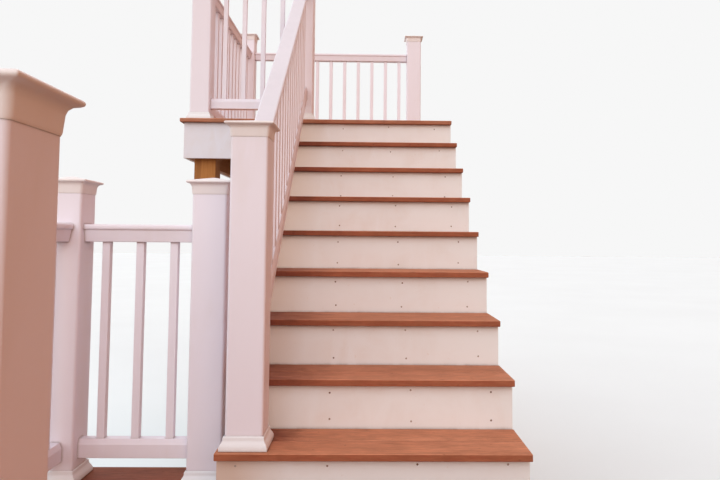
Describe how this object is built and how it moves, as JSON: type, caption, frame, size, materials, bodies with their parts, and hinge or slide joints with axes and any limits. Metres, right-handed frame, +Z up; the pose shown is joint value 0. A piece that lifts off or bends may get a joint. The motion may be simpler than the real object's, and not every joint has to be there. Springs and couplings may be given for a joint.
{
  "type": "outdoor deck stairs",
  "caption": "Straight outdoor deck stairs with closed white risers, brown composite treads, a landing, a railed upper deck and white post-and-baluster railing.",
  "frame": {"origin": "middle of the object's footprint, at ground level", "axes": "+X towards the wall side, +Y up the flights towards the upper deck, +Z up"},
  "size_m": [1.77, 6.139, 3.501],
  "materials": {
    "decking": "red-brown composite boards with fine lengthwise grain, matt",
    "white_trim": "white cellular PVC boards, matt, lightly soiled",
    "white_rail": "white vinyl, satin",
    "treated_timber": "pressure-treated pine, orange-brown, rough sawn"
  },
  "bodies": {
    "root": {"tread_1": "decking", "tread_2": "decking", "tread_3": "decking", "tread_4": "decking", "tread_5": "decking", "tread_6": "decking", "tread_7": "decking", "tread_8": "decking", "lower_tread_1": "decking", "lower_tread_2": "decking", "lower_tread_3": "decking", "landing_boards": "decking", "upper_boards": "decking", "main_risers": "white_trim", "lower_risers": "white_trim", "main_stair_skirts": "white_trim", "lower_stair_skirts": "white_trim", "landing_end_fascias": "white_trim", "landing_side_fascia": "white_trim", "upper_end_fascias": "white_trim", "upper_side_fascia": "white_trim", "upper_post_sleeves": "white_rail", "landing_post_sleeves": "white_rail", "newel_sleeves": "white_rail", "post_caps": "white_rail", "post_bases": "white_rail", "main_stair_rail": "white_rail", "lower_stair_rail": "white_rail", "upper_front_rail": "white_rail", "upper_left_rail": "white_rail", "upper_back_rail": "white_rail", "landing_back_rail": "white_rail", "landing_left_rail": "white_rail", "landing_front_rail": "white_rail", "main_stringers": "treated_timber", "lower_stringers": "treated_timber", "landing_joists": "treated_timber", "landing_headers": "treated_timber", "landing_support_posts": "treated_timber", "upper_joists": "treated_timber", "upper_headers": "treated_timber", "upper_support_posts": "treated_timber"}
  },
  "joints": []
}
